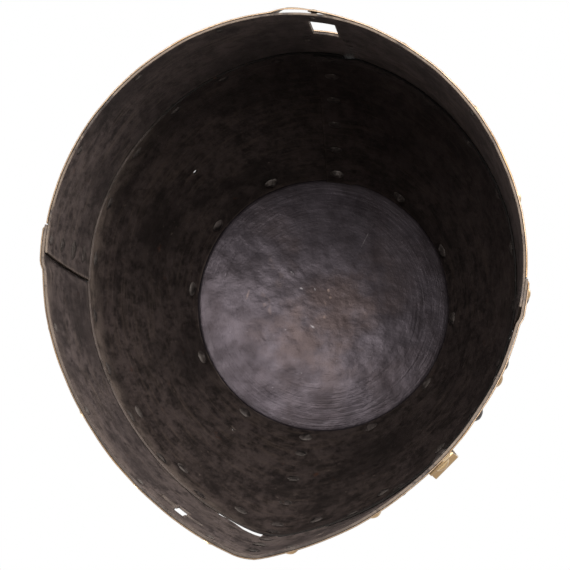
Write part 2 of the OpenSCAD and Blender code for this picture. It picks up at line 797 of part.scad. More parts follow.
// A flat strap bent out between two riveted feet, drawn with +Z off the wall
module strap_loop() {
    half = loop_height / 2;
    foot = half - loop_foot;
    top = loop_space + loop_sheet;
    section = [[-half, 0], [-foot, 0], [-foot + loop_space, loop_space],
        [foot - loop_space, loop_space], [foot, 0], [half, 0], [half, loop_sheet],
        [foot + loop_sheet / 2, loop_sheet], [foot - loop_space + loop_sheet / 2, top],
        [-foot + loop_space - loop_sheet / 2, top], [-foot - loop_sheet / 2, loop_sheet],
        [-half, loop_sheet]];
    color(brass)
        difference() {
            on_wall(loop_turn, loop_middle, loop_inset)
                rotate([90, 0, 0])
                    linear_extrude(loop_width, center = true)
                        polygon(section);
            at_loop_rivets(loop_inset)
                cylinder(h = through, d = rivet_shank + 2 * rivet_gap, center = true,
                    $fn = hole_faces);
        }
}

module crown_rivets() {
    color(worn_iron)
        for (t = crown_rivet_turns)
            wall_rivet(t, crown_rivet_height, crown_inset, leaf_inner(t));
}

module upper_seam_rivets() {
    color(worn_iron)
        for (z = seam_rivet_heights)
            wall_rivet(180, z, upper_inset, leaf_inner(180));
}

module waist_rivets() {
    color(worn_iron)
        for (t = waist_rivet_turns)
            wall_rivet(t, waist_rivet_height, lower_inset(t), leaf_inner(t));
}

module side_rivets(side) {
    color(worn_iron)
        for (z = side_rivet_heights)
            wall_rivet(side * lap_turn, z, lower_inset(lap_turn), rear_inset + iron_sheet);
}

module side_rivets_left() {
    side_rivets(1);
}

module side_rivets_right() {
    side_rivets(-1);
}

module rim_rivets() {
    color(brass)
        for (t = rim_rivet_turns)
            wall_rivet(t, rim_rivet_height, band_inset(t),
                (abs(t) < lap_turn ? front_inset(t) : rear_inset) + iron_sheet, slim);
}

module keel_rivets() {
    color(brass) {
        for (z = keel_upper_heights)
            wall_rivet(0, z, upper_inset - seat_gap - brass_sheet, upper_inner);
        for (z = keel_lower_run)
            wall_rivet(0, z, front_inset(0) - seat_gap - brass_sheet,
                z > brow_height ? upper_inner : front_inset(0) + iron_sheet);
    }
}

module brow_rivets() {
    color(brass)
        for (side = [-1, 1])
            for (t = brow_rivet_turns)
                wall_rivet(side * t, brow_middle, upper_inset - seat_gap - brass_sheet,
                    upper_inner);
}

module back_plate_rivets() {
    color(brass)
        for (side = [-1, 1])
            for (z = back_rivet_heights)
                wall_rivet(slot_turn + side * back_rivet_turn, z,
                    rear_inset - seat_gap - brass_sheet, rear_inset + iron_sheet, slim);
}

module loop_rivets() {
    outer = loop_inset - loop_sheet;
    inner = lower_inset(loop_turn) + iron_sheet;
    color(brass)
        at_loop_rivets(outer - seat_gap / 2)
            rivet(wall_grip(loop_turn, loop_middle, outer, inner, stout), stout);
}

crown_plate();
upper_plate();
lower_front_plate();
lower_rear_plate();
rim_band_front();
rim_band_rear();
keel_strip_upper();
keel_strip_lower();
brow_band_left();
brow_band_right();
back_slot_plate();
strap_loop();
crown_rivets();
upper_seam_rivets();
waist_rivets();
side_rivets_left();
side_rivets_right();
rim_rivets();
keel_rivets();
brow_rivets();
back_plate_rivets();
loop_rivets();
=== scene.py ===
import math
import random
import bmesh
import bpy
from mathutils import Matrix, Vector, kdtree, noise


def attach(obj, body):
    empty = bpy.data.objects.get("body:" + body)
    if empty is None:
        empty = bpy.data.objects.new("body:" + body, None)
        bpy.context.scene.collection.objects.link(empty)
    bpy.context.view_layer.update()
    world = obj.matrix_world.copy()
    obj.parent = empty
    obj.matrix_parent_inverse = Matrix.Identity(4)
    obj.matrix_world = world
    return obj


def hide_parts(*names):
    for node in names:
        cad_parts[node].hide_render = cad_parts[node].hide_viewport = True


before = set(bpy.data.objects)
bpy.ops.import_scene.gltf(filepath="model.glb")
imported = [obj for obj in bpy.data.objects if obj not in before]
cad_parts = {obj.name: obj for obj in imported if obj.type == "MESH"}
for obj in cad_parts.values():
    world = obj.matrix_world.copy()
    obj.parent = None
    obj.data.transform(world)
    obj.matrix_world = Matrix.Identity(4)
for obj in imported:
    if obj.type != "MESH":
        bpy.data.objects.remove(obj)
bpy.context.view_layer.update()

# The studio: the camera looks up into the open helm from below its rim. The room is white,
# and the pale floor can be seen only from above, so that the helm stands on it in other views.
scene = bpy.context.scene
scene.view_settings.view_transform = "Standard"

camera_data = bpy.data.cameras.new("camera")
camera_data.lens = 134.53
camera_data.sensor_width = 36.0
camera = bpy.data.objects.new("camera", camera_data)
camera.location = (-0.09883, -0.06196, -1.03779)
camera.rotation_euler = [math.radians(a) for a in (-176.079, -4.872, 173.167)]
scene.collection.objects.link(camera)
scene.camera = camera


def new_node(tree, kind, **settings):
    """A node of a kind, with its inputs set."""
    node = tree.nodes.new("ShaderNode" + kind)
    for name, value in settings.items():
        node.inputs[name.replace("_", " ")].default_value = value
    return node


def maths(tree, operation, *values):
    """A sum, product or other figure of numbers and sockets."""
    figure = new_node(tree, "Math")
    figure.operation = operation
    for socket, value in zip(figure.inputs, values):
        if isinstance(value, (int, float)):
            socket.default_value = value
        else:
            tree.links.new(value, socket)
    return figure.outputs[0]


def times(tree, first, second):
    return maths(tree, "MULTIPLY", first, second)


def vector_maths(tree, operation, *values):
    """The same for directions and places."""
    figure = new_node(tree, "VectorMath")
    figure.operation = operation
    for socket, value in zip(figure.inputs, values):
        if isinstance(value, tuple):
            socket.default_value = value
        else:
            tree.links.new(value, socket)
    return figure.outputs["Value" if operation in ("LENGTH", "DOT_PRODUCT") else "Vector"]


def stepped(tree, source, low, high, to_low=0.0, to_high=1.0):
    """A soft step of the source from low to high."""
    step = new_node(tree, "MapRange", From_Min=low, From_Max=high, To_Min=to_low, To_Max=to_high)
    step.interpolation_type = "SMOOTHSTEP"
    tree.links.new(source, step.inputs["Value"])
    return step.outputs["Result"]


def seen_level(tree, unseen, seen):
    """One level where the camera, a reflection or glass looks, and another for light given."""
    rays = new_node(tree, "LightPath")
    looks = maths(tree, "MAXIMUM", rays.outputs["Is Camera Ray"], rays.outputs["Is Glossy Ray"])
    looks = maths(tree, "MAXIMUM", looks, rays.outputs["Is Transmission Ray"])
    return maths(tree, "MULTIPLY_ADD", looks, seen - unseen, unseen)


room_light, room_white = 0.25, 1.0
world = bpy.data.worlds.new("studio")
scene.world = world
world.use_nodes = True
tree = world.node_tree
tree.nodes["Background"].inputs["Color"].default_value = (1, 1, 1, 1)
tree.links.new(seen_level(tree, room_light, room_white),
               tree.nodes["Background"].inputs["Strength"])


def area_lamp(name, place, aim, length, width, power, turn=0.0):
    """A soft lamp of oval shape that faces its aim, its length at a turn from the x axis."""
    data = bpy.data.lights.new(name, "AREA")
    data.shape = "ELLIPSE"
    data.size = length
    data.size_y = width
    data.energy = power
    back = (Vector(place) - Vector(aim)).normalized()
    side = Vector((math.cos(math.radians(turn)), math.sin(math.radians(turn)), 0.0))
    side = (side - side.dot(back) * back).normalized()
    lamp = bpy.data.objects.new(name, data)
    lamp.location = place
    lamp.rotation_euler = Matrix((side, back.cross(side), back)).transposed().to_euler()
    scene.collection.objects.link(lamp)


area_lamp("lamp_below", (-0.125, 0.328, -1.5), (0.0, 0.0, 0.3), 1.24, 0.29, 34, 15.0)
area_lamp("lamp_low", (-0.60, 0.85, -1.1), (0.0, 0.0, 0.1), 0.7, 0.7, 22)
area_lamp("lamp_front", (1.2, -1.6, 1.4), (0.0, 0.0, 0.15), 1.2, 1.2, 40)
area_lamp("lamp_rear", (-1.5, 1.3, 1.5), (0.0, 0.0, 0.15), 1.2, 1.2, 25)

floor_radius, floor_drop, floor_glow = 3.0, 0.0003, 0.38
shadow_reach, glow_reach = 0.14, 0.55
bm = bmesh.new()
bmesh.ops.create_circle(bm, cap_ends=True, radius=floor_radius, segments=96)
bmesh.ops.translate(bm, verts=bm.verts, vec=(0, 0, -floor_drop))
mesh = bpy.data.meshes.new("floor")
bm.to_mesh(mesh)
bm.free()
floor = bpy.data.objects.new("floor", mesh)
scene.collection.objects.link(floor)
floor.visible_shadow = False
floor.visible_diffuse = False
floor.visible_glossy = False
floor_paint = bpy.data.materials.new("floor_paint")
floor_paint.use_nodes = True
tree = floor_paint.node_tree
paint = tree.nodes["Principled BSDF"]
paint.inputs["Base Color"].default_value = (0.8, 0.8, 0.8, 1)
paint.inputs["Roughness"].default_value = 0.9
paint.inputs["Emission Color"].default_value = (1, 1, 1, 1)
side_seen = new_node(tree, "NewGeometry")
distance = vector_maths(tree, "LENGTH", side_seen.outputs["Position"])
glow = times(tree, seen_level(tree, 0.0, floor_glow),
             stepped(tree, distance, shadow_reach, glow_reach))
tree.links.new(glow, paint.inputs["Emission Strength"])
clear = new_node(tree, "BsdfTransparent")
mix = new_node(tree, "MixShader")
tree.links.new(side_seen.outputs["Backfacing"], mix.inputs["Fac"])
tree.links.new(paint.outputs[0], mix.inputs[1])
tree.links.new(clear.outputs[0], mix.inputs[2])
tree.links.new(mix.outputs[0], tree.nodes["Material Output"].inputs["Surface"])
floor.data.materials.append(floor_paint)


# The upper plate is one sheet of thin iron, hammered round into an egg-shaped ring that
# closes to a circle at the top, with its ends lapped and riveted at the back. Its skin is
# dark from the forge, and two small holes on the wearer's left once laced a lining to it.
mm = 0.001
iron_sheet = 1.2
slack = 0.2
lap_step = iron_sheet + slack
upper_inset = 2 * lap_step
band_height, brow_height, waist_top, crown_height = 14.0, 117.0, 137.0, 300.0
crown_middle, crown_radius, crown_sweep = 5.9, 80.5, 1.25
crown_reach = crown_radius + upper_inset
# Each arc of the two outlines: the turn where it ends, its radius and its centre.
rim_arcs = ((18, 25.0, (0.0, -112.1)), (68, 166.523, (-43.733, 22.497)),
            (160, 128.204, (-8.204, 8.142)), (180, 104.216, (0.0, 30.684)))
waist_arcs = ((18, 45.0, (0.0, -88.1)), (68, 156.131, (-34.341, 17.592)),
              (160, 131.552, (-11.552, 8.385)), (180, 97.776, (0.0, 40.124)))


def facing(turn):
    """The way the wall faces at a turn in degrees from the keel towards the wearer's left."""
    return Vector((math.sin(math.radians(turn)), -math.cos(math.radians(turn)), 0.0))


def on_outline(arcs, turn, inset):
    turn = (turn + 180) % 360 - 180
    radius, centre = next((r, c) for end, r, c in arcs if abs(turn) <= end)
    point = Vector((*centre, 0.0)) + (radius - inset) * facing(abs(turn))
    return Vector((math.copysign(point.x, turn) if turn else point.x, point.y, 0.0))


def wall(turn, z, inset=0.0):
    """Point of the helm's wall in millimetres, at an inset from its outermost skin."""
    lean = min(max((z - band_height) / (waist_top - band_height), 0), 1)
    low = on_outline(rim_arcs, turn, inset).lerp(on_outline(waist_arcs, turn, inset), lean)
    top = Vector((0, crown_middle, 0)) + (crown_reach - inset) * facing(turn)
    share = max((z - waist_top) / (crown_height - waist_top), 0) ** crown_sweep
    return low.lerp(top, share) + Vector((0, 0, z))


# The hammer's unevenness from broad to fine: its depth, its breadth and its place.
dents = ((0.34, 34, (0, 0, 0)), (0.20, 15, (9, 4, 2)), (0.07, 7, (0, 0, 0)))


def dent(turn, z):
    """Depth of the unevenness, which is the same in all sheets that lie together."""
    p = wall(turn, z)
    return sum(deep * noise.noise(p / wide + Vector(place)) for deep, wide, place in dents)


def eased(value, low, high):
    """Passes softly from nothing to one as the value goes from low to high."""
    share = min(max((value - low) / (high - low), 0), 1)
    return share * share * (3 - 2 * share)


def bent_sheet(edges, low, high, depth, row=2.8):
    """A flat sheet, one column to a degree, bent round the wall as a single skin."""
    bm = bmesh.new()
    turned = bm.verts.layers.float.new("turn")
    start, end = edges(low)
    bmesh.ops.create_grid(bm, x_segments=round(end - start),
                          y_segments=max(round((high - low) / row), 1), size=1)
    for v in bm.verts:
        z = low + (high - low) * (v.co.y + 1) / 2
        start, end = edges(z)
        turn = start + (end - start) * (v.co.x + 1) / 2
        v[turned] = turn
        v.co = wall(turn, z, depth(turn) + dent(turn, z))
    return bm


room_to_bridge = 1.3


def cut_round_hole(bm, turn, z, depth, width):
    """Opens a round hole: the skin under the punch goes and a neat ring takes its place."""
    turned = bm.verts.layers.float["turn"]
    middle = wall(turn, z, depth + dent(turn, z))
    reach = width / 2 + room_to_bridge
    lost = [f for f in bm.faces if (f.calc_center_median() - middle).length < reach]
    other_edges = {e for e in bm.edges if e.is_boundary}
    bmesh.ops.delete(bm, geom=lost, context="FACES")
    jagged = [e for e in bm.edges if e.is_boundary and e not in other_edges]
    up = (wall(turn, z + 1) - wall(turn, z - 1)).normalized()
    along = facing(turn).cross(up)
    ring = bmesh.ops.create_circle(bm, segments=16, radius=width / 2)["verts"]
    for v in ring:
        v.co = middle + v.co.x * along + v.co.y * up
        v[turned] = turn
    round_edge = list(dict.fromkeys(e for v in ring for e in v.link_edges))
    bmesh.ops.bridge_loops(bm, edges=jagged + round_edge)


def thicken(bm, thick=iron_sheet, soften=0.2, inside=2):
    """Gives the skin its thickness inwards, with softened cut edges as a second finish."""
    turned = bm.verts.layers.float["turn"]
    outer = set(bm.faces)
    made = bmesh.ops.extrude_face_region(bm, geom=bm.faces[:])["geom"]
    inner = {g for g in made if isinstance(g, bmesh.types.BMFace)}
    for v in (g for g in made if isinstance(g, bmesh.types.BMVert)):
        v.co -= thick * facing(v[turned])
    bmesh.ops.recalc_face_normals(bm, faces=bm.faces)
    for f in bm.faces:
        f.material_index = 0 if f in outer else inside if f in inner else 1
    arris = [e for e in bm.edges
             if {f.material_index for f in e.link_faces} in ({0, 1}, {1, inside})]
    bmesh.ops.bevel(bm, geom=arris, offset=soften, offset_type="OFFSET", segments=1,
                    profile=0.5, affect="EDGES", material=1, clamp_overlap=True)


crease, wear_reach = 38, 2.2


def finished(name, bm, materials):
    """Puts a finished shape into the scene, in metres, with its worn edges marked."""
    bmesh.ops.scale(bm, verts=bm.verts, vec=(mm, mm, mm))
    bmesh.ops.triangulate(bm, faces=[f for f in bm.faces if len(f.verts) > 4])
    for f in bm.faces:
        f.smooth = True
    for e in bm.edges:
        e.smooth = len(e.link_faces) == 2 and e.calc_face_angle() < math.radians(crease)
    sharp = {v for e in bm.edges if not e.smooth for v in e.verts}
    tree = kdtree.KDTree(max(len(sharp), 1))
    for i, v in enumerate(sharp):
        tree.insert(v.co, i)
    tree.balance()
    wear = bm.verts.layers.float.new("wear")
    for v in bm.verts:
        v[wear] = math.exp(-tree.find(v.co)[2] / (wear_reach * mm)) if sharp else 0.0
    mesh = bpy.data.meshes.new(name)
    bm.to_mesh(mesh)
    bm.free()
    for m in materials:
        mesh.materials.append(m)
    piece = bpy.data.objects.new(name, mesh)
    scene.collection.objects.link(piece)
    return piece


def own_place(tree):
    """Where a point lies on the piece, in metres."""
    return new_node(tree, "TexCoord").outputs["Object"]


def noise_over(tree, scale, stretch=(1, 1, 1), detail=4, rough=0.55, shift=0.0):
    """Noise on the piece's own coordinates, which is finer where stretch is larger."""
    stretched = new_node(tree, "Mapping", Scale=[scale * s for s in stretch],
                         Location=(shift, shift, shift))
    grain = new_node(tree, "TexNoise", Scale=1.0, Detail=detail, Roughness=rough)
    tree.links.new(own_place(tree), stretched.inputs["Vector"])
    tree.links.new(stretched.outputs["Vector"], grain.inputs["Vector"])
    return grain.outputs["Fac"]


def tinted(tree, share, first, second):
    """Colour that passes from the first to the second by a share."""
    mixed = new_node(tree, "Mix")
    mixed.data_type = "RGBA"
    tree.links.new(share, mixed.inputs["Factor"])
    for socket, value in ((mixed.inputs["A"], first), (mixed.inputs["B"], second)):
        if isinstance(value, tuple):
            socket.default_value = (*value, 1)
        else:
            tree.links.new(value, socket)
    return mixed.outputs["Result"]


def height_band(tree, z, reach):
    """One at a height of the helm, and nothing beyond a reach above and below it."""
    parts = new_node(tree, "SeparateXYZ")
    tree.links.new(own_place(tree), parts.inputs["Vector"])
    away = maths(tree, "ABSOLUTE", maths(tree, "SUBTRACT", parts.outputs["Z"], z))
    return stepped(tree, away, 0.0, reach, 1.0, 0.0)


def toward(tree, way, low, high):
    """A soft step from nothing to one along a direction of the helm, in metres."""
    return stepped(tree, vector_maths(tree, "DOT_PRODUCT", own_place(tree), way), low, high)


def new_metal(name, metal, shine=0.5):
    """A material with its metallic share and gloss set, its tree and its shader."""
    material = bpy.data.materials.new(name)
    material.use_nodes = True
    shader = material.node_tree.nodes["Principled BSDF"]
    shader.inputs["Metallic"].default_value = metal
    shader.inputs["Specular IOR Level"].default_value = shine
    return material, material.node_tree, shader


def edge_wear(tree):
    """The wear that a finished piece carries along its edges."""
    worn = new_node(tree, "Attribute")
    worn.attribute_name = "wear"
    return worn.outputs["Fac"]


def set_relief(tree, height, strength, distance):
    """Raises the surface by the height."""
    bump = new_node(tree, "Bump", Strength=strength, Distance=distance)
    tree.links.new(height, bump.inputs["Height"])
    tree.links.new(bump.outputs["Normal"], tree.nodes["Principled BSDF"].inputs["Normal"])


def forged_iron(name, dark, light, tan, edge, metal, shine, rough, seed, wear_and_light_height=0.0,
                wear_and_light_reach=0.03, wear_and_light_most=0.7, streaks=0.85, relief=0.0004, chips_and_painted_light=(1.0, 0.0),
                painted_light_side=((0.64, -0.77, 0), -0.03, 0.11)):
    """Iron with a patina: mottled skin, scuffs along the bend, rust, light specks and chipped
    edges, with painted light in a band and on the chips towards one side of the helm.
    """
    material, tree, shader = new_metal(name, metal, shine)
    mottle = noise_over(tree, 78, (1, 1, 0.5), 9, 0.70, seed)
    patch = noise_over(tree, 19, (1, 1, 0.8), 5, 0.62, seed + 3)
    scuff = noise_over(tree, 34, (1, 1, 7.0), 8, 0.74, seed + 5)
    rust = noise_over(tree, 66, (1, 1, 0.6), 6, 0.7, seed + 11)
    speck = noise_over(tree, 430, (1, 1, 0.6), 2, 0.5, seed)
    grain = noise_over(tree, 230, (1, 1, 0.45), 6, 0.75, seed + 9)
    mixed = maths(tree, "MULTIPLY_ADD", grain, 0.5, times(tree, mottle, 0.5))
    # Painted light: this share rises towards one side of the helm, where the band at a height and
    # the chips are made lighter. The edge colour is used for this painted light as well as for the
    # bare metal of chips and specks.
    painted_light_share = toward(tree, *painted_light_side)
    colour = tinted(tree, stepped(tree, mixed, 0.41, 0.59), dark, light)
    colour = tinted(tree, stepped(tree, patch, 0.44, 0.66, 0, 0.65), colour, dark)
    scuffed = times(tree, stepped(tree, scuff, 0.46, 0.66, 0, streaks),
                    stepped(tree, patch, 0.62, 0.40, 0.15, 1.0))
    colour = tinted(tree, scuffed, colour, tan)
    # Wear in a band at a height, kept to the painted-light side, so it is partly wear and partly
    # painted light.
    worn_and_painted_light = times(tree, height_band(tree, wear_and_light_height, wear_and_light_reach),
                    stepped(tree, mottle, 0.38, 0.60, 0.25, 1.0))
    worn_and_painted_light = times(tree, worn_and_painted_light, painted_light_share)
    colour = tinted(tree, times(tree, worn_and_painted_light, wear_and_light_most), colour, edge)
    colour = tinted(tree, stepped(tree, rust, 0.64, 0.74, 0, 0.6), colour, (0.095, 0.040, 0.024))
    bright = times(tree, stepped(tree, speck, 0.70, 0.78), stepped(tree, patch, 0.40, 0.56))
    colour = tinted(tree, times(tree, bright, 0.5), colour, edge)
    # Chips of bare metal along the worn edges. The second share adds more chips on the
    # painted-light side as painted light, and where that share is negative it takes chips away
    # there as painted shade.
    chip_and_painted_light = times(tree, edge_wear(tree), stepped(tree, scuff, 0.3, 0.6, 0.2, 1.2))
    chip_and_painted_light = times(tree, stepped(tree, chip_and_painted_light, 0.45, 1.0, 0, 0.6),
                 maths(tree, "MULTIPLY_ADD", painted_light_share, chips_and_painted_light[1], chips_and_painted_light[0]))
    colour = tinted(tree, chip_and_painted_light, colour, edge)
    tree.links.new(colour, shader.inputs["Base Color"])
    gloss = maths(tree, "MULTIPLY_ADD", mottle, -0.34, rough + 0.17)
    gloss = maths(tree, "MULTIPLY_ADD", scuffed, -0.06, gloss)
    tree.links.new(gloss, shader.inputs["Roughness"])
    fine = noise_over(tree, 300, (1, 1, 0.6), 4, 0.6, seed)
    height = maths(tree, "MULTIPLY_ADD", mottle, 2.6, fine)
    height = maths(tree, "MULTIPLY_ADD", scuff, 0.8, height)
    height = maths(tree, "MULTIPLY_ADD", stepped(tree, rust, 0.6, 0.8), -0.7, height)
    set_relief(tree, height, 0.6, relief)
    return material


# Each iron below carries painted light towards the wearer's front left: a lighter band at its
# given height. On the waist edge and the upper plate's inside, the chips also gather there as
# painted light. On the lower plates' cut edges the chips thin out at the front instead, which is
# painted shade.
dark_iron = forged_iron("dark_iron", (0.030, 0.025, 0.022), (0.085, 0.071, 0.063),
                        (0.105, 0.080, 0.064), (0.26, 0.23, 0.21), 0.55, 0.45, 0.42, 1.0,
                        0.137, 0.012)
cut_iron = forged_iron("cut_iron", (0.026, 0.020, 0.018), (0.075, 0.060, 0.053),
                       (0.09, 0.068, 0.056), (0.185, 0.140, 0.105), 0.25, 0.20, 0.62, 5.0,
                       wear_and_light_most=0.0, chips_and_painted_light=(1.0, -0.85),
                       painted_light_side=((0.35, -0.94, 0), 0.06, 0.11))
# The upper plate's cut edges are near black, partly as painted shade along the waist edge where no
# light reaches it.
waist_edge = forged_iron("waist_edge", (0.007, 0.006, 0.005), (0.016, 0.013, 0.012),
                         (0.020, 0.015, 0.013), (0.10, 0.078, 0.067), 0.10, 0.10, 0.66, 6.0,
                         0.117, 0.012, 0.5, chips_and_painted_light=(0.0, 1.0),
                         painted_light_side=((0.95, -0.31, 0), 0.04, 0.10))
sooty_iron = forged_iron("sooty_iron", (0.017, 0.0125, 0.011), (0.070, 0.0515, 0.0465),
                         (0.100, 0.072, 0.058), (0.235, 0.180, 0.148), 0.25, 0.25, 0.50, 2.0,
                         0.120, 0.032, 0.8, 0.6, 0.0006, (0.2, 0.8),
                         ((0.95, -0.31, 0), 0.02, 0.10))

lap_turn, lap_clear, lap_ramp = 5.0, 1.0, 4.0
lace_places = ((31.5, 257), (127, 218))
lace_hole = 3.2
# Its foot is beaten out into the hollow of each joggle of the front plate.
hollow_turn, hollow_reach, hollow_depth, hollow_top, hollow_fade = 83.6, 1.4, 0.6, 140, 12


def upper_depth(turn):
    clear = lap_turn + lap_clear
    return upper_inset + lap_step * (1 - eased(turn + 180, clear, clear + lap_ramp))


bm = bent_sheet(lambda z: (-180 - lap_turn, 180 + lap_turn), brow_height, crown_height,
                upper_depth)
for turn, z in lace_places:
    cut_round_hole(bm, turn, z, upper_inset, lace_hole)
turned = bm.verts.layers.float["turn"]
for v in bm.verts:
    beaten_out = max(1 - abs(abs(v[turned]) - hollow_turn) / hollow_reach, 0)
    beaten_out *= min(max((hollow_top - v.co.z) / hollow_fade, 0), 1)
    v.co += hollow_depth * beaten_out * facing(v[turned])
thicken(bm)
upper_plate = finished("upper_plate_forged", bm, [dark_iron, waist_edge, sooty_iron])
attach(upper_plate, "root")
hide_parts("upper_plate")


# The crown plate is a round of blue-grey iron, domed on a stake in rings of close hammer
# blows, with its rim turned down over the upper plate in a flange that takes the rivets.
crown_inset = upper_inset - slack - iron_sheet
crown_bend, crown_rise, flange, crown_top = 5.0, 8.0, 21.0, 311.35


def fleck(tree, flat, x, y, turn, length, width, strength=1.0):
    """One where a single mark lies on the crown: its middle, direction, length and width."""
    local = new_node(tree, "Mapping", Location=(x * mm, y * mm, 0),
                     Rotation=(0, 0, math.radians(turn)),
                     Scale=(length / 2 * mm, width / 2 * mm, 1))
    local.vector_type = "TEXTURE"
    tree.links.new(flat, local.inputs["Vector"])
    away = vector_maths(tree, "LENGTH", local.outputs["Vector"])
    return stepped(tree, away, 0.30, 1.0, strength, 0.0)


def domed_iron(name, dark, light, brown, ring, metal, shine, rough, seed, pale=(), tan=()):
    """Dished iron: clouds of grey and brown, rings from the stake, pits and single marks."""
    material, tree, shader = new_metal(name, metal, shine)
    flat = vector_maths(tree, "MULTIPLY", own_place(tree), (1, 1, 0))
    centred = vector_maths(tree, "SUBTRACT", flat, (0, crown_middle * mm, 0))
    away = vector_maths(tree, "LENGTH", centred)
    way = new_node(tree, "SeparateXYZ")
    tree.links.new(vector_maths(tree, "NORMALIZE", centred), way.inputs["Vector"])
    ring_place = new_node(tree, "CombineXYZ")
    tree.links.new(way.outputs["X"], ring_place.inputs["X"])
    tree.links.new(way.outputs["Y"], ring_place.inputs["Y"])
    tree.links.new(times(tree, away, 330.0), ring_place.inputs["Z"])
    rings = new_node(tree, "TexNoise", Scale=1.7, Detail=4, Roughness=0.65)
    tree.links.new(ring_place.outputs["Vector"], rings.inputs["Vector"])
    rings = rings.outputs["Fac"]
    cloud = noise_over(tree, 62, (1, 1, 1), 7, 0.62, seed)
    patch = noise_over(tree, 24, (1, 1, 1), 5, 0.60, seed + 4)
    pits = noise_over(tree, 210, (1, 1, 1), 3, 0.55, seed + 8)
    speck = noise_over(tree, 520, (1, 1, 1), 2, 0.5, seed + 2)
    colour = tinted(tree, stepped(tree, cloud, 0.34, 0.66), dark, light)
    middle = stepped(tree, away, 0.020, 0.070, 1.0, 0.15)
    colour = tinted(tree, times(tree, stepped(tree, patch, 0.42, 0.60), middle), colour, brown)
    near_edge = stepped(tree, away, 0.030, 0.074)
    line = times(tree, stepped(tree, rings, 0.56, 0.66), near_edge)
    line = times(tree, line, stepped(tree, patch, 0.36, 0.56, 0.1, 1.0))
    lower_right = toward(tree, (-0.6, -0.8, 0), -0.03, 0.05)
    line = times(tree, line, maths(tree, "MULTIPLY_ADD", lower_right, 0.75, 0.25))
    colour = tinted(tree, times(tree, line, 0.35), colour, ring)
    colour = tinted(tree, stepped(tree, speck, 0.70, 0.80, 0, 0.6), colour, ring)
    for marks, mark_colour in ((pale, (0.085, 0.076, 0.077)), (tan, (0.070, 0.050, 0.043))):
        share = 0.0
        for mark in marks:
            share = maths(tree, "MAXIMUM", share, fleck(tree, flat, *mark))
        if marks:
            share = times(tree, share, stepped(tree, pits, 0.44, 0.60, 0.0, 1.0))
            colour = tinted(tree, share, colour, mark_colour)
    tree.links.new(colour, shader.inputs["Base Color"])
    gloss = maths(tree, "MULTIPLY_ADD", cloud, -0.16, rough + 0.08)
    tree.links.new(gloss, shader.inputs["Roughness"])
    height = maths(tree, "MULTIPLY_ADD", cloud, 1.3, times(tree, pits, 0.45))
    height = maths(tree, "MULTIPLY_ADD", patch, 1.6, height)
    height = maths(tree, "MULTIPLY_ADD", times(tree, rings, near_edge), 0.7, height)
    set_relief(tree, height, 0.5, 0.0005)
    return material


# Single marks on the inside: middle, direction, length and width in millimetres and degrees.
pale_marks = ((-21.5, 51.4, 111, 27.5, 0.5), (41.0, 41.0, 10, 1.6, 1.2),
              (15.5, 15.4, 20, 3.6, 1.4), (7.0, 15.8, 60, 2.6, 1.2),
              (22.5, 24.6, 35, 4.0, 1.2), (11.0, -1.5, 70, 3.2, 2.0),
              (5.5, -8.0, 30, 4.5, 1.6), (22.0, -12.0, 10, 2.6, 1.6), (15.0, -44.5, 25, 2.6, 1.8),
              (9.5, -37.5, 40, 3.0, 1.6), (-11.0, -42.5, 0, 2.2, 1.6), (-30.0, -36.0, 0, 2.2, 1.4),
              (62.0, 26.0, 80, 2.0, 1.4))
tan_marks = ((-1.6, 16.1, 80, 3.0, 2.4), (-3.4, 11.9, 70, 2.6, 2.0), (-0.6, 7.6, 70, 4.6, 2.2),
             (-1.1, -1.2, 60, 3.4, 2.6), (49.0, 7.0, 100, 11.0, 1.8, 0.45),
             (47.0, 3.5, 80, 4.0, 2.2, 0.5), (38.5, 6.0, 75, 16.0, 4.0, 0.30),
             (34.5, 1.0, 80, 17.0, 4.0, 0.25), (36.5, 30.0, 75, 16.0, 5.0, 0.15),
             (30.0, 20.0, 85, 20.0, 8.0, 0.15), (-7.5, 15.0, 40, 6.0, 3.0, 0.4))
crown_iron = domed_iron("crown_iron", (0.092, 0.088, 0.092), (0.195, 0.187, 0.195),
                        (0.130, 0.112, 0.103), (0.29, 0.28, 0.285), 0.55, 0.35, 0.46, 9.0)
crown_inside = domed_iron("crown_inside", (0.0145, 0.0112, 0.0126), (0.0265, 0.0215, 0.0243),
                          (0.0245, 0.0172, 0.0165), (0.052, 0.045, 0.049), 0.50, 0.06, 0.31, 12.0,
                          pale_marks, tan_marks)


flange_rows, bend_rows, dome_rows = 8, 5, 36
# Unevenness of the dome: hammer blows, their grain and a broad swell, each high and wide.
blow_high, blow_wide, grain_high, grain_wide = 0.15, 8.5, 0.06, 4.2
swell_high, swell_wide = 0.25, 26
still_middle, fade_in, still_edge, fade_out = 3, 10, 86, 8


def crown_profile(turn):
    """Points of the outer skin at a turn, from the flange's edge to the crown's middle."""
    foot = wall(turn, crown_height - 1, crown_inset)
    near = wall(turn, crown_height, crown_inset)
    out = facing(turn)
    lean = math.atan2((foot - near).dot(out), 1.0)
    tilt = math.radians(90) - math.atan(2 * crown_rise / crown_radius)
    reach = crown_reach - crown_inset
    rows = []
    for i in range(flange_rows + 1):
        z = crown_height - flange + (flange - crown_bend / 2) * i / flange_rows
        rows.append(wall(turn, z, crown_inset + dent(turn, z)))
    for i in range(bend_rows + 1):
        a = lean + (tilt - lean) * i / bend_rows
        z = crown_height + crown_bend * (math.sin(a) - math.sin(lean))
        r = reach - crown_bend * math.cos(lean) + crown_bend * math.cos(a)
        rows.append(Vector((0, crown_middle, z)) + r * out)
    shoulder = rows[-1]
    middle = Vector((0, crown_middle, 0))
    for i in range(1, dome_rows + 1):
        share = 1 - i / dome_rows
        p = middle + (Vector((shoulder.x, shoulder.y, 0)) - middle) * share
        p.z = shoulder.z + (crown_top - shoulder.z) * (1 - share * share)
        rows.append(p)
    return rows


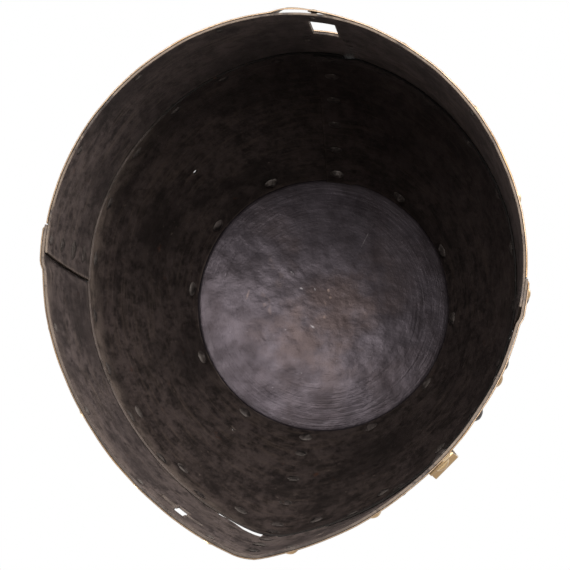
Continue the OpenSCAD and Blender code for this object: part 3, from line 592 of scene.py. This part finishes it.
bm = bmesh.new()
turned = bm.verts.layers.float.new("turn")
last_row = len(crown_profile(0)) - 1
bmesh.ops.create_grid(bm, x_segments=180, y_segments=last_row, size=1)
for v in bm.verts:
    turn = -180 + 180 * (v.co.x + 1)
    row = round((v.co.y + 1) / 2 * last_row)
    v.co = crown_profile(turn)[row]
    v[turned] = turn
bmesh.ops.remove_doubles(bm, verts=bm.verts, dist=0.03)
bmesh.ops.recalc_face_normals(bm, faces=bm.faces)
for v in bm.verts:
    if v.co.z > crown_height + 2:
        p = Vector((v.co.x, v.co.y - crown_middle, 0))
        away = p.length
        blow = blow_high * noise.noise(p / blow_wide + Vector((3, 7, 0)))
        blow += grain_high * noise.noise(p / grain_wide)
        blow *= min(max((away - still_middle) / fade_in, 0), 1)
        swell = swell_high * noise.noise(p / swell_wide)
        v.co.z += (blow + swell) * min(1, (still_edge - away) / fade_out)
bm.normal_update()
inner_skin = [v.co - iron_sheet * v.normal for v in bm.verts]
outer_skin = kdtree.KDTree(len(inner_skin))
for i, v in enumerate(bm.verts):
    outer_skin.insert(v.co, i)
outer_skin.balance()
made = bmesh.ops.extrude_face_region(bm, geom=bm.faces[:])["geom"]
for v in (g for g in made if isinstance(g, bmesh.types.BMVert)):
    v.co = inner_skin[outer_skin.find(v.co)[1]]
for f in (g for g in made if isinstance(g, bmesh.types.BMFace)):
    f.material_index = 1
bmesh.ops.recalc_face_normals(bm, faces=bm.faces)
crown_plate = finished("crown_plate_domed", bm, [crown_iron, crown_inside])
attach(crown_plate, "root")
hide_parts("crown_plate")


# The lower rear plate goes round the back of the neck. It is a plain sheet of iron with a
# slot for a strap near the rim, and its front edges sweep forward under the front plate.
# Both lower-plate irons are lighter near the rim towards the front, which is partly wear and
# partly painted light.
worn_iron = forged_iron("worn_iron", (0.036, 0.030, 0.027), (0.105, 0.088, 0.079),
                        (0.13, 0.098, 0.078), (0.30, 0.26, 0.24), 0.55, 0.45, 0.42, 14.0)
worn_and_lit_inside = forged_iron("worn_and_lit_inside", (0.046, 0.036, 0.0335), (0.165, 0.128, 0.118),
                          (0.190, 0.145, 0.120), (0.31, 0.24, 0.20), 0.25, 0.25, 0.48, 16.0,
                          0.0, 0.026, 0.40, painted_light_side=((0.45, -0.89, 0), -0.01, 0.115))
rear_inset = lap_step
rear_foot_turn, rear_sweep, side_radius = 86.743, 5.5, 128.2
rear_end_turn, rear_end_reach, rear_end_depth = 90.0, 6.0, 0.8
slot_turn, slot_height, slot_wide, slot_tall = 181.924, 36, 13.5, 36
straight_up = Vector((0, 0, 1))
cut_depth, cut_margin = 12, 6


def scored(bm, faces, place, way, cut_off=False):
    """Splits a few faces along a plane, and takes off what lies beyond it if asked."""
    part = list(dict.fromkeys(g for f in faces for g in (f, *f.verts, *f.edges)))
    bmesh.ops.bisect_plane(bm, geom=part, dist=0.01, plane_co=place,
                           plane_no=Vector(way).normalized(), clear_outer=cut_off)


def cut_box(bm, middle, along, up, width, height):
    """Cuts a square-cornered opening in the skin and lets the waste fall out."""
    out = along.cross(up)

    def near(f, grow):
        p = f.calc_center_median() - middle
        return (abs(p.dot(along)) < width / 2 + grow and abs(p.dot(up)) < height / 2 + grow
                and abs(p.dot(out)) < cut_depth)

    for way, reach in ((along, width / 2), (up, height / 2)):
        for side in (-1, 1):
            around = [f for f in bm.faces if near(f, cut_margin)]
            scored(bm, around, middle + side * reach * way, way)
    waste = [f for f in bm.faces if near(f, -0.01)]
    bmesh.ops.delete(bm, geom=waste, context="FACES")


def rear_edges(z):
    ahead = rear_sweep * (1 - (1 - z / waist_top) ** 2)
    turn = rear_foot_turn - math.degrees(ahead / side_radius)
    return turn, 360 - turn


def rear_depth(turn):
    """The sheet's end on the wearer's left stands in from the wall a little."""
    share = min(max((rear_end_turn - turn) / rear_end_reach, 0), 1)
    return rear_inset + rear_end_depth * share * share


bm = bent_sheet(rear_edges, 0, waist_top, rear_depth)
slot_middle = wall(slot_turn, slot_height, rear_inset)
slot_along = facing(slot_turn).cross(straight_up)
cut_box(bm, slot_middle, slot_along, straight_up, slot_wide, slot_tall)
thicken(bm)
rear_plate = finished("lower_rear_plate_forged", bm, [worn_iron, cut_iron, worn_and_lit_inside])
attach(rear_plate, "root")
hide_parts("lower_rear_plate")


# The lower front plate is bent to the prow and rivets over the rear plate at the sides. The
# sights are cut down from its top edge, with breaths and a toggle cross through its cheeks.
front_turn = 93.0
joggle_from, joggle_to = 82.4, 84.8
toggle_turn, toggle_height, toggle_long, toggle_wide = 30, 32, 26, 6
breath_turn, breath_step, breath_height, breath_row, breath_width = -34, 4.817, 62, 14, 5.0
sight_in, sight_out, sight_low, sight_rise = 4.5, 30.5, brow_height - 10.5, 8.5
face_low, face_front, face_half = 100, -90, 40
# The lips under the sights are knocked in, on the right all along, on the left outside.
knocked_right, knocked_left, lip_reach = 0.75, 0.70, 12
lips_low, lips_high, lips_front = 92, 117, -85
corner_round, corner_low, corner_out, corner_ahead = 5.0, 12, 60, 6


def front_depth(turn):
    return lap_step * (1 - eased(abs(turn), joggle_from, joggle_to))


bm = bent_sheet(lambda z: (-front_turn, front_turn), 0, waist_top, front_depth)
toggle_middle = wall(toggle_turn, toggle_height, lap_step)
toggle_along = facing(toggle_turn).cross(straight_up)
cut_box(bm, toggle_middle, toggle_along, straight_up, toggle_long, toggle_wide)
cut_box(bm, toggle_middle, toggle_along, straight_up, toggle_wide, toggle_long)
for row in (-1, 0, 1):
    for k in range(-2, 3 - abs(row)):
        cut_round_hole(bm, breath_turn + (k + abs(row) / 2) * breath_step,
                       breath_height + breath_row * row, lap_step, breath_width)
for side in (-1, 1):
    cuts = (((side * sight_in, 0, 0), (1, 0, 0)), ((side * sight_out, 0, 0), (1, 0, 0)),
            ((side * sight_in, 0, sight_low), (-sight_rise * side, 0, sight_out - sight_in)))
    for place, way in cuts:
        near = [f for f in bm.faces if f.calc_center_median().z > face_low
                and f.calc_center_median().y < face_front
                and 0 < side * f.calc_center_median().x < face_half]
        scored(bm, near, place, way)
    waste = []
    for f in bm.faces:
        p = f.calc_center_median()
        along = (side * p.x - sight_in) / (sight_out - sight_in)
        if p.y < face_front and 0 < along < 1 and p.z > sight_low + sight_rise * along:
            waste.append(f)
    bmesh.ops.delete(bm, geom=waste, context="FACES")

turned = bm.verts.layers.float["turn"]
for v in bm.verts:
    side = 1 if v.co.x > 0 else -1
    along = (side * v.co.x - sight_in) / (sight_out - sight_in)
    if v.co.y < lips_front and lips_low < v.co.z < lips_high:
        lip = sight_low + sight_rise * min(max(along, 0), 1)
        knocked = eased(along, -0.25, 0.0) * knocked_right if side < 0 else (
            knocked_left * eased(along, 0.40, 0.58) * (1 - 0.75 * eased(along, 0.84, 0.92)))
        knocked *= eased(v.co.z, lip - lip_reach, lip) * (1 - eased(along, 0.95, 1.05))
        v.co -= knocked * facing(v[turned])
for side in (-1, 1):
    corner = wall(side * front_turn, waist_top - corner_round)
    corner -= corner_round * side * facing(side * front_turn).cross(straight_up)
    for a in (15, 30, 45, 60, 75):
        way = Vector((0, math.sin(math.radians(a)), math.cos(math.radians(a))))
        near = [f for f in bm.faces if f.calc_center_median().z > waist_top - corner_low
                and side * f.calc_center_median().x > corner_out
                and f.calc_center_median().y > corner.y - corner_ahead]
        scored(bm, near, corner + corner_round * way, way, True)
thicken(bm)
front_plate = finished("lower_front_plate_forged", bm, [worn_iron, cut_iron, worn_and_lit_inside])
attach(front_plate, "root")
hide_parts("lower_front_plate")


# The plates are held by iron rivets with domed heads outside. Their ends were hammered flat
# inside, so no two are alike, and they have gone as dark as the plates round them.
# Near the rim, towards the wearer's front left, the rivet ends take the same painted light as the
# plates.
rivet_iron = forged_iron("rivet_iron", (0.014, 0.011, 0.010), (0.085, 0.068, 0.062),
                         (0.05, 0.038, 0.031), (0.17, 0.145, 0.13), 0.40, 0.35, 0.44, 21.0)
# Each kind: the shank, the head and its rise, the hammered end and its rise.
stout = (4.0, 9.0, 2.2, 8.0, 1.2)
stoutest = (4.0, 9.0, 2.2, 9.0, 2.4)
slim = (3.0, 6.5, 1.2, 5.0, 0.8)
upper_inside = upper_inset + iron_sheet
seam_inner = upper_inside + lap_step
dice = random.Random(7)


def wall_radius(turn, z):
    turn = abs((turn + 180) % 360 - 180)
    lean = min(max((z - band_height) / (waist_top - band_height), 0), 1)
    share = max((z - waist_top) / (crown_height - waist_top), 0) ** crown_sweep
    low, mid = (next(r for end, r, c in arcs if turn <= end)
                for arcs in (rim_arcs, waist_arcs))
    return (1 - share) * ((1 - lean) * low + lean * mid) + share * crown_reach


def cap(diameter, rise, steps):
    """Half of a dome's section, from its middle to its edge."""
    ball = (diameter * diameter / 4 + rise * rise) / (2 * rise)
    wide = math.asin(diameter / 2 / ball)
    return [(ball * math.sin(wide * i / steps), ball * math.cos(wide * i / steps) - ball + rise)
            for i in range(steps + 1)]


def rivet(bm, turn, z, outer, inner, size, end_look=0, spread=1.0):
    """One rivet through the wall: a head spun round its shank, and an end hammered uneven."""
    shank, head, rise, end, end_rise = size
    end *= spread
    hollow = wall_radius(turn, z) - inner
    grip = inner - outer + slack * 1.5 + end * end / 8 / hollow
    section = cap(head, rise, 5) + [(shank / 2, 0), (shank / 2, -grip)]
    section += [(x, -grip - y) for x, y in reversed(cap(end, end_rise, 4))]
    one = bmesh.new()
    points = [one.verts.new((x, 0, y)) for x, y in section]
    line = [one.edges.new(pair) for pair in zip(points, points[1:])]
    bmesh.ops.spin(one, geom=points + line, cent=(0, 0, 0), axis=(0, 0, 1),
                   angle=math.tau, steps=20, use_merge=True)
    bmesh.ops.remove_doubles(one, verts=one.verts, dist=0.001)
    bmesh.ops.recalc_face_normals(one, faces=one.faces)
    slip = Vector((dice.uniform(-0.35, 0.35), dice.uniform(-0.35, 0.35), 0))
    for v in one.verts:
        wobble = noise.noise(Vector((v.co.x / 2.4 + turn, v.co.y / 2.4, z)))
        if v.co.z < -grip + 0.01:
            for f in v.link_faces:
                f.material_index = end_look
        if v.co.z < -grip - 0.01:
            v.co += slip * 0.8 + Vector((v.co.x, v.co.y, 0)) * 0.22 * wobble
            v.co.z += 0.45 * end_rise * wobble
        elif v.co.z > 0.01:
            v.co.z += 0.08 * rise * wobble
    up = (wall(turn, z + 0.5) - wall(turn, z - 0.5)).normalized()
    along = up.cross(facing(turn))
    out = along.cross(up)
    place = wall(turn, z, outer - slack / 2 + dent(turn, z))
    turned_in = Matrix((-up, along, out)).transposed().to_4x4()
    bmesh.ops.transform(one, verts=one.verts, matrix=Matrix.Translation(place) @ turned_in)
    shape = bpy.data.meshes.new("one_rivet")
    one.to_mesh(shape)
    one.free()
    bm.from_mesh(shape)
    bpy.data.meshes.remove(shape)


lap_rivet_turn, waist_rivet_height = 89.872, 127
waist_turns = (30.37, 41.26, 52.16, 63.05, 75.72, lap_rivet_turn, 104.27, 118.67, 133.06,
               147.46, 162.29)


def lower_outer(turn):
    """Inset of the skin that a rivet of the lower plates bears on."""
    turn = abs((turn + 180) % 360 - 180)
    return front_depth(turn) if turn < front_turn else rear_inset


bm = bmesh.new()
for turn in waist_turns:
    for side in (-1, 1):
        rivet(bm, side * turn, waist_rivet_height, lower_outer(turn), upper_inside, stout)
rivet(bm, 180, waist_rivet_height, rear_inset, seam_inner, stout)
waist_rivets = finished("waist_rivets_hammered", bm, [rivet_iron])
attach(waist_rivets, "root")
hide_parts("waist_rivets")

# Heights, and how far each end was spread.
side_rivet_places = ((37, 0.95), (67, 1.3), (97, 1.15))
for side, name in ((1, "side_rivets_left"), (-1, "side_rivets_right")):
    bm = bmesh.new()
    for z, spread in side_rivet_places:
        rivet(bm, side * lap_rivet_turn, z, 0, rear_inset + iron_sheet, stout, 0, spread)
    side_rivets = finished(name + "_hammered", bm, [rivet_iron])
    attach(side_rivets, "root")
    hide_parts(name)

bm = bmesh.new()
for z in (159.5, 192.0, 224.5, 257.0):
    rivet(bm, 180, z, upper_inset, seam_inner, stout)
seam_rivets = finished("upper_seam_rivets_hammered", bm, [rivet_iron])
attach(seam_rivets, "root")
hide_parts("upper_seam_rivets")

bm = bmesh.new()
for i in range(12):
    turn = 180 - 30 * i
    inner = seam_inner if i == 0 else upper_inside
    rivet(bm, turn, crown_height - flange / 2, crown_inset, inner, stoutest)
crown_rivets = finished("crown_rivets_hammered", bm, [rivet_iron])
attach(crown_rivets, "root")
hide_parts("crown_rivets")


# The cross over the face is four strips of thin brass: two up the keel, parted by the
# sights, and a brow band over each eye that widens to a rounded point. All are riveted on.
brass_sheet, brass_arris = 0.7, 0.15
on_upper, on_lower = upper_inset - slack - brass_sheet, lap_step - slack - brass_sheet
keel_width, strip_gap = 24.0, 0.6
neck_half, notch_wide, notch_tall, notch_height = 3.9, 30, 38.2, 125


def aged_brass(name, bright, brown, dull, edge, rough, seed):
    """Brass gone brown in clouds, with dull smears and bright places where it is rubbed."""
    material, tree, shader = new_metal(name, 0.9)
    cloud = noise_over(tree, 38, detail=5, rough=0.6, shift=seed)
    smear = noise_over(tree, 24, (1, 1, 5), 4, 0.6, seed + 2)
    speck = noise_over(tree, 480, detail=2, shift=seed)
    colour = tinted(tree, stepped(tree, cloud, 0.34, 0.62, 0, 0.9), bright, brown)
    colour = tinted(tree, stepped(tree, smear, 0.44, 0.68, 0, 0.75), colour, dull)
    colour = tinted(tree, stepped(tree, speck, 0.64, 0.76, 0, 0.5), colour, dull)
    rubbed = times(tree, edge_wear(tree), stepped(tree, smear, 0.3, 0.6, 0.3, 1.2))
    colour = tinted(tree, stepped(tree, rubbed, 0.35, 0.95, 0, 0.8), colour, edge)
    tree.links.new(colour, shader.inputs["Base Color"])
    gloss = maths(tree, "MULTIPLY_ADD", cloud, 0.25, rough - 0.12)
    tree.links.new(maths(tree, "MULTIPLY_ADD", rubbed, -0.1, gloss), shader.inputs["Roughness"])
    fine = noise_over(tree, 240, detail=4, shift=seed)
    set_relief(tree, maths(tree, "MULTIPLY_ADD", cloud, 1.2, fine), 0.4, 0.0003)
    return material


brass = aged_brass("aged_brass", (0.58, 0.385, 0.175), (0.28, 0.165, 0.078),
                   (0.115, 0.080, 0.052), (0.70, 0.51, 0.28), 0.40, 31.0)
# The brass edge is a darker brown, partly painted shade for the dark line along the rim band's
# outer edge.
brass_edge = aged_brass("brass_edge", (0.19, 0.118, 0.058), (0.090, 0.060, 0.042),
                        (0.050, 0.040, 0.035), (0.16, 0.115, 0.078), 0.48, 33.0)


def beaten(name, bm):
    """A finished piece of the brass sheet."""
    thicken(bm, brass_sheet, brass_arris, 0)
    return finished(name, bm, [brass, brass_edge])


def keel_turn(run, z):
    """Turn that lies a length along the upper wall from the keel."""
    nose, cheek = wall_radius(0, z) - upper_inset, wall_radius(60, z) - upper_inset
    bend = nose * math.radians(18)
    return math.degrees(run / nose) if run < bend else 18 + math.degrees((run - bend) / cheek)


def laid_strip(columns, rows, place):
    """A strip of brass beaten to the wall: `place` gives the turn, height and inset."""
    bm = bmesh.new()
    turned = bm.verts.layers.float.new("turn")
    bmesh.ops.create_grid(bm, x_segments=columns, y_segments=rows, size=1)
    for v in bm.verts:
        turn, z, inset = place((v.co.x + 1) / 2, (v.co.y + 1) / 2)
        v[turned] = turn
        v.co = wall(turn, z, inset + dent(turn, z))
    return bm


def keel_place(low, high, inset):
    def place(across, up):
        z = low + (high - low) * up
        run = (2 * across - 1) * keel_width / 2
        return math.copysign(keel_turn(abs(run), z), run), z, inset
    return place


bm = laid_strip(16, 56, keel_place(waist_top + strip_gap, crown_height - flange - strip_gap,
                                   on_upper))
keel_upper = beaten("keel_strip_upper_beaten", bm)
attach(keel_upper, "root")
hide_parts("keel_strip_upper")

bm = laid_strip(16, 48, keel_place(band_height + strip_gap, waist_top, on_lower))
for side in (-1, 1):
    cut_box(bm, Vector((side * (neck_half + notch_wide / 2), -130, notch_height)),
            Vector((side, 0, 0)), straight_up, notch_wide, notch_tall)
keel_lower = beaten("keel_strip_lower_beaten", bm)
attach(keel_lower, "root")
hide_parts("keel_strip_lower")

brow_middle, brow_start, brow_round_from, brow_end = 152.6, 12.6, 106, 122
brow_half, brow_widening = 12, 3


def brow_place(side):
    def place(across, up):
        run = brow_start + (brow_end - brow_start) * (across if side > 0 else 1 - across)
        if run < brow_round_from:
            half = brow_half + brow_widening * (run - brow_start) / (brow_round_from - brow_start)
        else:
            past = (run - brow_round_from) / (brow_end - brow_round_from)
            half = (brow_half + brow_widening) * (0.3 + 0.7 * math.sqrt(max(0, 1 - past ** 2)))
        return side * keel_turn(run, brow_middle), brow_middle + (2 * up - 1) * half, on_upper
    return place


for side, name in ((1, "brow_band_left"), (-1, "brow_band_right")):
    bm = laid_strip(64, 12, brow_place(side))
    brow_band = beaten(name + "_beaten", bm)
    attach(brow_band, "root")
    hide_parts(name)

bm = bmesh.new()
for z in (152.6, 190.533, 228.467, 266.4):
    rivet(bm, 0, z, on_upper, upper_inside, stout, 1)
for z in (26.6, 60.067, 93.533):
    rivet(bm, 0, z, on_lower, lap_step + iron_sheet, stout, 1)
rivet(bm, 0, waist_rivet_height, on_lower, upper_inside, stout, 1)
keel_rivets = finished("keel_rivets_domed", bm, [brass, rivet_iron])
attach(keel_rivets, "root")
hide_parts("keel_rivets")

bm = bmesh.new()
for side in (-1, 1):
    for turn in (21.34, 36.94, 52.54):
        rivet(bm, side * turn, brow_middle, on_upper, upper_inside, stout, 1)
brow_rivets = finished("brow_rivets_domed", bm, [brass, rivet_iron])
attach(brow_rivets, "root")
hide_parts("brow_rivets")


# A narrow band of brass in two lengths binds the rim outside. It was riveted on with small
# rivets, and it has sprung off the plate a little beside the back.
sprung_from, sprung_most, sprung_to = 167.0, 172.5, 193.0
sprung_by, sprung_lean, band_gap = 1.3, 3.0, 0.268


def band_spring(turn):
    """How far the band has sprung at a turn, from nothing to one."""
    turn %= 360
    if turn < sprung_most:
        return eased(turn, sprung_from, sprung_most)
    return eased(sprung_to - turn, 0, sprung_to - sprung_most)


def band_depth(turn):
    return lower_outer(turn) - slack - brass_sheet - sprung_by * band_spring(turn)


for name, start, end in (("rim_band_front", -front_turn, front_turn),
                         ("rim_band_rear", front_turn + band_gap, 360 - front_turn - band_gap)):
    bm = bent_sheet(lambda z: (start, end), 0, band_height, band_depth)
    turned = bm.verts.layers.float["turn"]
    for v in bm.verts:
        v.co += sprung_lean * v.co.z / band_height * band_spring(v[turned]) * facing(v[turned])
    rim_band = beaten(name + "_bent", bm)
    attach(rim_band, "root")
    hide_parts(name)

bm = bmesh.new()
for turn in (22.87, 38.36, 53.85, 69.75, lap_rivet_turn, 111.47, 133.06, 154.66, 180.0):
    for side in (-1, 1) if turn < 180 else (1,):
        inner = (front_depth(turn) if turn < lap_rivet_turn else rear_inset) + iron_sheet
        rivet(bm, side * turn, band_height / 2, band_depth(side * turn), inner, slim, 1)
rim_rivets = finished("rim_rivets_domed", bm, [brass, rivet_iron])
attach(rim_rivets, "root")
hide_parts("rim_rivets")


# A brass plate guards the strap slot in the neck, cut through with the plate under it and
# held by four small rivets above the slot.
plate_half_turn, plate_low, plate_tall, rivet_aside = 10.446, 14.6, 71, 6.185
on_rear = rear_inset - slack - brass_sheet


def slot_plate_place(across, up):
    return slot_turn + (2 * across - 1) * plate_half_turn, plate_low + plate_tall * up, on_rear


bm = laid_strip(14, 26, slot_plate_place)
cut_box(bm, slot_middle, slot_along, straight_up, slot_wide, slot_tall)
slot_plate = beaten("back_slot_plate_beaten", bm)
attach(slot_plate, "root")
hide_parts("back_slot_plate")

bm = bmesh.new()
for side in (-1, 1):
    for z in (58.5, 76.6):
        rivet(bm, slot_turn + side * rivet_aside, z, on_rear, rear_inset + iron_sheet, slim, 1)
slot_rivets = finished("back_plate_rivets_domed", bm, [brass, rivet_iron])
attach(slot_rivets, "root")
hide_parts("back_plate_rivets")


# The strap loop on the wearer's right is a short bar of brass bent out between two flat
# feet. A strap passes behind it, and a rivet through each foot holds it to the plate.
loop_turn, loop_middle, loop_width, loop_sheet, loop_space = -52.0, 62.0, 16.0, 2.0, 3.0
half, foot, top, foot_rivet = 23.0, 12.0, loop_space + loop_sheet, 17.5
bend_round, edge_round = 0.9, 0.35
cheek_radius = rim_arcs[1][1]
loop_depth = lap_step - slack - loop_width ** 2 / 8 / cheek_radius
section = ((-half, 0), (-foot, 0), (-foot + loop_space, loop_space),
           (foot - loop_space, loop_space), (foot, 0), (half, 0), (half, loop_sheet),
           (foot + loop_sheet / 2, loop_sheet), (foot - loop_space + loop_sheet / 2, top),
           (-foot + loop_space - loop_sheet / 2, top), (-foot - loop_sheet / 2, loop_sheet),
           (-half, loop_sheet))
bm = bmesh.new()
face = bm.faces.new([bm.verts.new((x, -loop_width / 2, y)) for x, y in section])
made = bmesh.ops.extrude_face_region(bm, geom=[face])["geom"]
bmesh.ops.translate(bm, verts=[g for g in made if isinstance(g, bmesh.types.BMVert)],
                    vec=(0, loop_width, 0))
bmesh.ops.recalc_face_normals(bm, faces=bm.faces)
bends = [e for e in bm.edges if abs(e.verts[0].co.y - e.verts[1].co.y) > 1
         and abs(abs(e.verts[0].co.x) - half) > 0.01]
bmesh.ops.bevel(bm, geom=bends, offset=bend_round, offset_type="OFFSET", segments=3, profile=0.5,
                affect="EDGES", material=-1, clamp_overlap=True)
rims = [e for e in bm.edges if e.calc_face_angle(0) > math.radians(60)]
bmesh.ops.bevel(bm, geom=rims, offset=edge_round, offset_type="OFFSET", segments=2, profile=0.5,
                affect="EDGES", material=-1, clamp_overlap=True)
up = (wall(loop_turn, loop_middle + 0.5) - wall(loop_turn, loop_middle - 0.5)).normalized()
along = up.cross(facing(loop_turn))
turned_in = Matrix((-up, along, along.cross(up))).transposed().to_4x4()
bmesh.ops.transform(bm, verts=bm.verts, matrix=Matrix.Translation(
    wall(loop_turn, loop_middle, loop_depth)) @ turned_in)
for v in bm.verts:
    v.co -= dent(loop_turn, v.co.z) * facing(loop_turn)
loop_brass = aged_brass("loop_brass", (0.46, 0.30, 0.15), (0.24, 0.145, 0.080),
                        (0.12, 0.085, 0.062), (0.38, 0.25, 0.125), 0.36, 35.0)
strap_loop = finished("strap_loop_bent", bm, [loop_brass])
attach(strap_loop, "root")
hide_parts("strap_loop")

bm = bmesh.new()
for end in (-1, 1):
    rivet(bm, loop_turn, loop_middle + end * foot_rivet, loop_depth - loop_sheet,
          lap_step + iron_sheet, stout, 1)
loop_rivets = finished("loop_rivets_domed", bm, [brass, rivet_iron])
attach(loop_rivets, "root")
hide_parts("loop_rivets")
